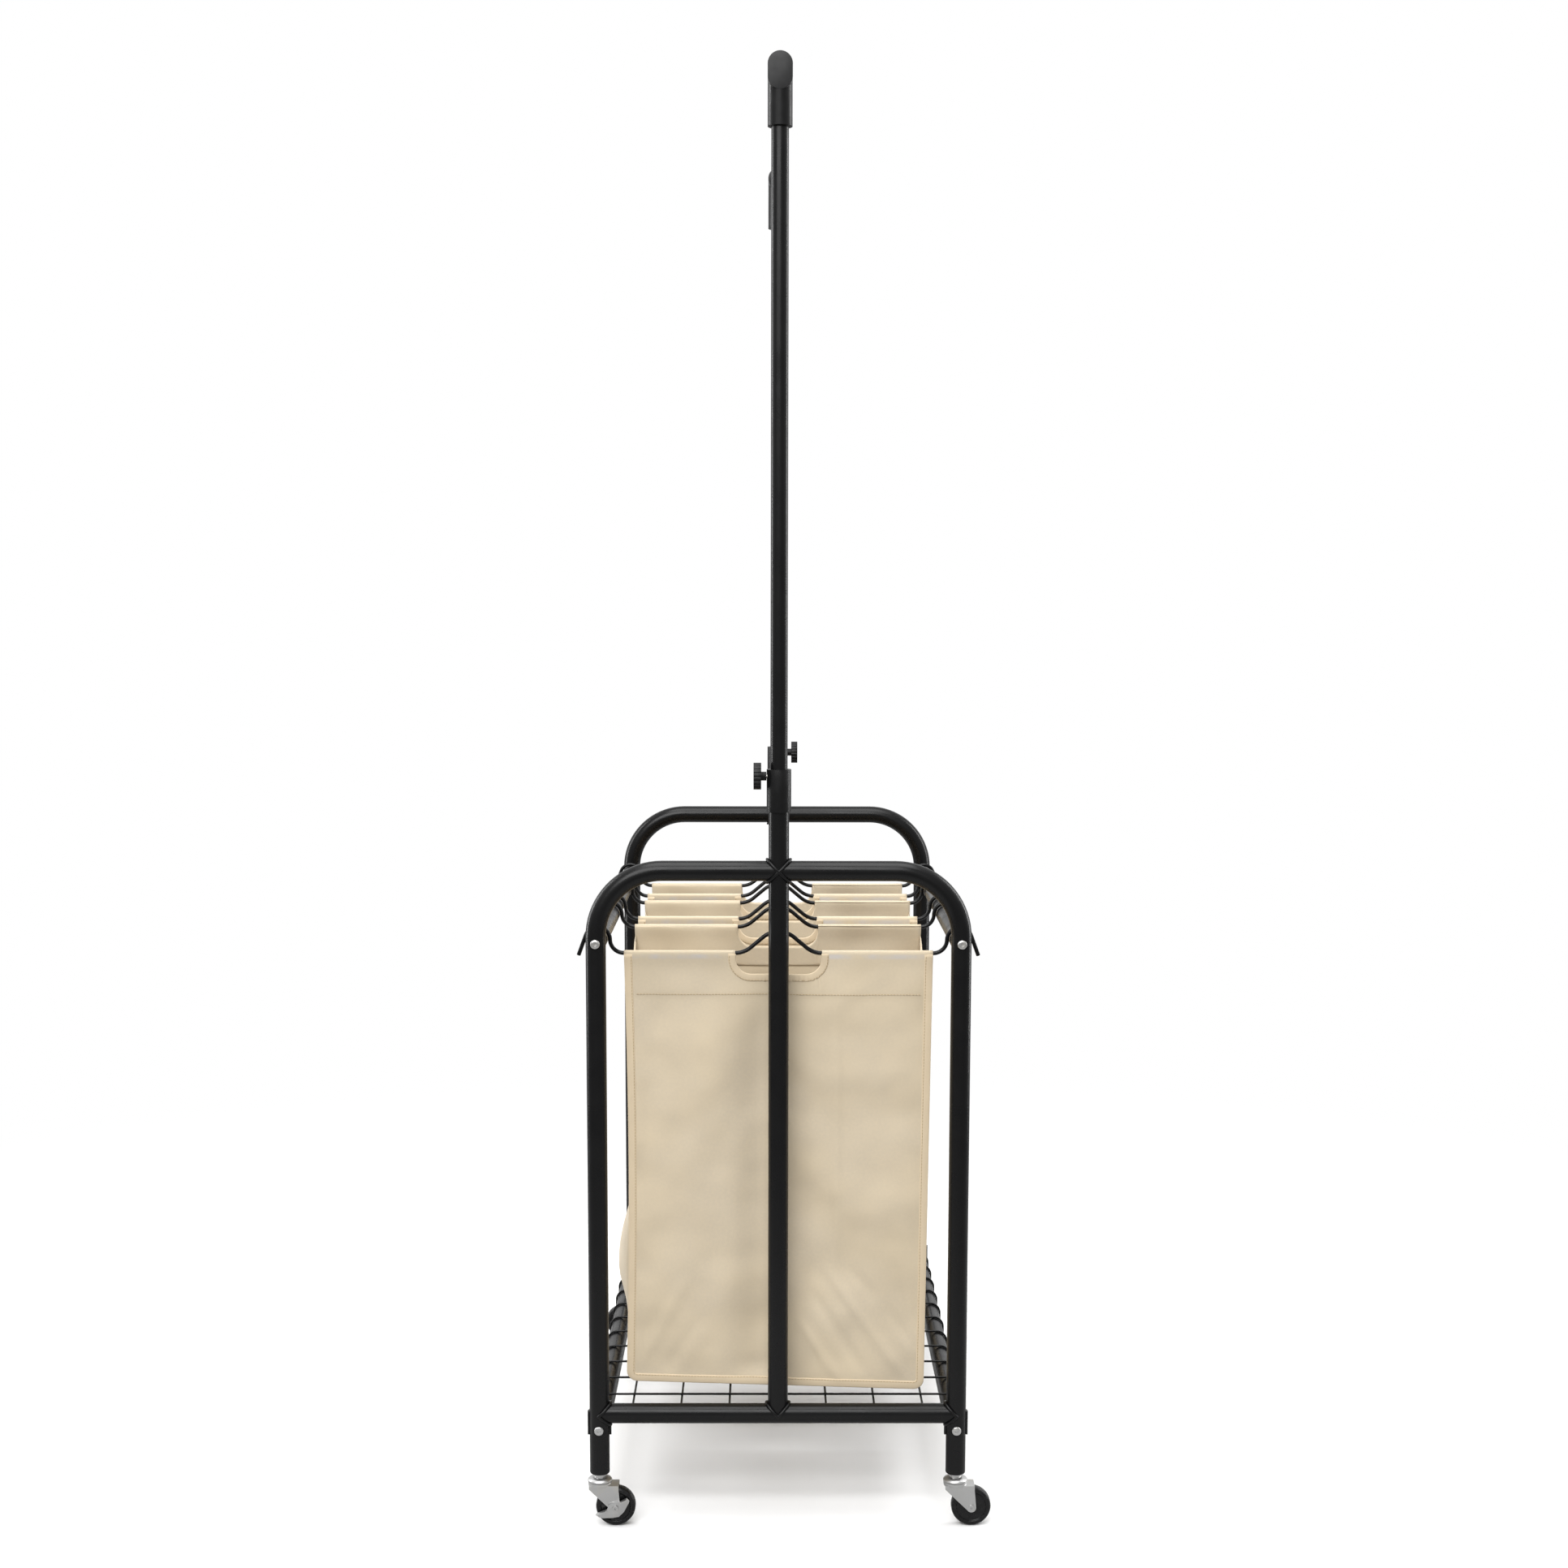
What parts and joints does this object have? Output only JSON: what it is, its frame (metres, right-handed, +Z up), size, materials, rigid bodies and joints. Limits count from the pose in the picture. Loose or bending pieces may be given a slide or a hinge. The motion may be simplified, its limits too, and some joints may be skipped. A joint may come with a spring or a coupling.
{
  "type": "laundry sorter",
  "caption": "Rolling laundry sorter: bent-tube frame with hanging fabric bags on side rails, a wire shelf, casters and a height-adjustable hanging bar.",
  "frame": {"origin": "on the floor, at the centre of the four casters' rectangle", "axes": "+Z up, X across the frame, Y along it with the front end frame at -Y"},
  "size_m": [0.54, 0.7782, 1.8007],
  "materials": {
    "tube_black": "satin black powder coat",
    "wire_black": "satin black powder coat on wire",
    "plastic_black": "moulded black plastic",
    "knob_black": "moulded black plastic with a fine grain",
    "wheel_black": "hard black tread",
    "zinc": "bright zinc plate",
    "brass": "turned",
    "cloth_cream": "plain woven cream polyester"
  },
  "bodies": {
    "root": {"front_left_post": "tube_black", "front_right_post": "tube_black", "rear_left_post": "tube_black", "rear_right_post": "tube_black", "front_centre_post": "tube_black", "rear_centre_post": "tube_black", "front_crossbar": "tube_black", "rear_crossbar": "tube_black", "left_upper_rail": "tube_black", "right_upper_rail": "tube_black", "left_lower_rail": "tube_black", "right_lower_rail": "tube_black", "wire_shelf": "wire_black", "frame_bolts": "zinc", "rail_inserts": "zinc", "leg_plugs": "plastic_black", "front_collar": "plastic_black", "rear_collar": "plastic_black", "clamp_inserts": "brass", "front_left_stem": "zinc", "front_right_stem": "zinc", "rear_left_stem": "zinc", "rear_right_stem": "zinc", "stem_nuts": "zinc", "swivel_balls": "zinc"},
    "hanging_rail": {"front_pole": "tube_black", "rear_pole": "tube_black", "hanging_bar": "tube_black", "front_elbow": "plastic_black", "rear_elbow": "plastic_black"},
    "front_clamp": {"front_clamp_screw": "zinc"},
    "front_clamp_knob": {"front_knob": "knob_black"},
    "rear_clamp": {"rear_clamp_screw": "zinc"},
    "rear_clamp_knob": {"rear_knob": "knob_black"},
    "front_left_caster": {"front_left_fork": "zinc", "front_left_axle": "zinc"},
    "front_left_roller": {"front_left_wheel": "wheel_black"},
    "front_left_brake_lever": {"front_left_brake": "zinc"},
    "front_right_caster": {"front_right_fork": "zinc", "front_right_axle": "zinc"},
    "front_right_roller": {"front_right_wheel": "wheel_black"},
    "rear_left_caster": {"rear_left_fork": "zinc", "rear_left_axle": "zinc"},
    "rear_left_roller": {"rear_left_wheel": "wheel_black"},
    "rear_right_caster": {"rear_right_fork": "zinc", "rear_right_axle": "zinc"},
    "rear_right_roller": {"rear_right_wheel": "wheel_black"},
    "rear_right_brake_lever": {"rear_right_brake": "zinc"},
    "bag_1": {"bag_1_shell": "cloth_cream", "bag_1_rear_hanger": "wire_black"},
    "bag_1_front": {"bag_1_front_panel": "cloth_cream", "bag_1_front_hanger": "wire_black"},
    "bag_2": {"bag_2_shell": "cloth_cream", "bag_2_rear_hanger": "wire_black"},
    "bag_2_front": {"bag_2_front_panel": "cloth_cream", "bag_2_front_hanger": "wire_black"},
    "bag_3": {"bag_3_shell": "cloth_cream", "bag_3_rear_hanger": "wire_black"},
    "bag_3_front": {"bag_3_front_panel": "cloth_cream", "bag_3_front_hanger": "wire_black"}
  },
  "joints": [
    {"name": "rail_height", "type": "slide", "parent": "root", "child": "hanging_rail", "axis": [0, 0, 1], "range_m": [-0.55, 0.03]},
    {"name": "front_clamp_travel", "type": "slide", "parent": "root", "child": "front_clamp", "axis": [-1, 0, 0], "range_m": [0, 0.002]},
    {"name": "front_clamp_turn", "type": "hinge", "parent": "front_clamp", "child": "front_clamp_knob", "pos_m": [-0.025, -0.37, 0.95085], "axis": [-1, 0, 0], "range_deg": [0, 720]},
    {"name": "rear_clamp_travel", "type": "slide", "parent": "root", "child": "rear_clamp", "axis": [1, 0, 0], "range_m": [0, 0.002]},
    {"name": "rear_clamp_turn", "type": "hinge", "parent": "rear_clamp", "child": "rear_clamp_knob", "pos_m": [0.025, 0.37, 0.93085], "axis": [1, 0, 0], "range_deg": [0, 720]},
    {"name": "front_left_swivel", "type": "hinge", "parent": "root", "child": "front_left_caster", "pos_m": [-0.225, -0.37, 0.055], "axis": [0, 0, 1], "continuous": true},
    {"name": "front_left_roll", "type": "hinge", "parent": "front_left_caster", "child": "front_left_roller", "pos_m": [-0.205, -0.37, 0.025], "axis": [0, 1, 0], "continuous": true},
    {"name": "front_left_brake_press", "type": "hinge", "parent": "front_left_caster", "child": "front_left_brake_lever", "pos_m": [-0.205, -0.37, 0.025], "axis": [0, 1, 0], "range_deg": [0, 22]},
    {"name": "front_right_swivel", "type": "hinge", "parent": "root", "child": "front_right_caster", "pos_m": [0.225, -0.37, 0.055], "axis": [0, 0, 1], "continuous": true},
    {"name": "front_right_roll", "type": "hinge", "parent": "front_right_caster", "child": "front_right_roller", "pos_m": [0.245, -0.37, 0.025], "axis": [0, 1, 0], "continuous": true},
    {"name": "rear_left_swivel", "type": "hinge", "parent": "root", "child": "rear_left_caster", "pos_m": [-0.225, 0.37, 0.055], "axis": [0, 0, 1], "continuous": true},
    {"name": "rear_left_roll", "type": "hinge", "parent": "rear_left_caster", "child": "rear_left_roller", "pos_m": [-0.245, 0.37, 0.025], "axis": [0, 1, 0], "continuous": true},
    {"name": "rear_right_swivel", "type": "hinge", "parent": "root", "child": "rear_right_caster", "pos_m": [0.225, 0.37, 0.055], "axis": [0, 0, 1], "continuous": true},
    {"name": "rear_right_roll", "type": "hinge", "parent": "rear_right_caster", "child": "rear_right_roller", "pos_m": [0.205, 0.37, 0.025], "axis": [0, 1, 0], "continuous": true},
    {"name": "rear_right_brake_press", "type": "hinge", "parent": "rear_right_caster", "child": "rear_right_brake_lever", "pos_m": [0.205, 0.37, 0.025], "axis": [0, -1, 0], "range_deg": [0, 22]},
    {"name": "bag_1_lift", "type": "slide", "parent": "root", "child": "bag_1", "axis": [0, 0, 1], "range_m": [0, 0.7]},
    {"name": "bag_1_close", "type": "slide", "parent": "bag_1", "child": "bag_1_front", "axis": [0, 1, 0], "range_m": [0, 0.198]},
    {"name": "bag_2_lift", "type": "slide", "parent": "root", "child": "bag_2", "axis": [0, 0, 1], "range_m": [0, 0.7]},
    {"name": "bag_2_close", "type": "slide", "parent": "bag_2", "child": "bag_2_front", "axis": [0, 1, 0], "range_m": [0, 0.135]},
    {"name": "bag_3_lift", "type": "slide", "parent": "root", "child": "bag_3", "axis": [0, 0, 1], "range_m": [0, 0.7]},
    {"name": "bag_3_close", "type": "slide", "parent": "bag_3", "child": "bag_3_front", "axis": [0, 1, 0], "range_m": [0, 0.093]}
  ],
  "couplings": [
    {"joint": "front_clamp_travel", "follows": "front_clamp_turn", "m_per_rad": 0.00015915},
    {"joint": "rear_clamp_travel", "follows": "rear_clamp_turn", "m_per_rad": 0.00015915}
  ]
}
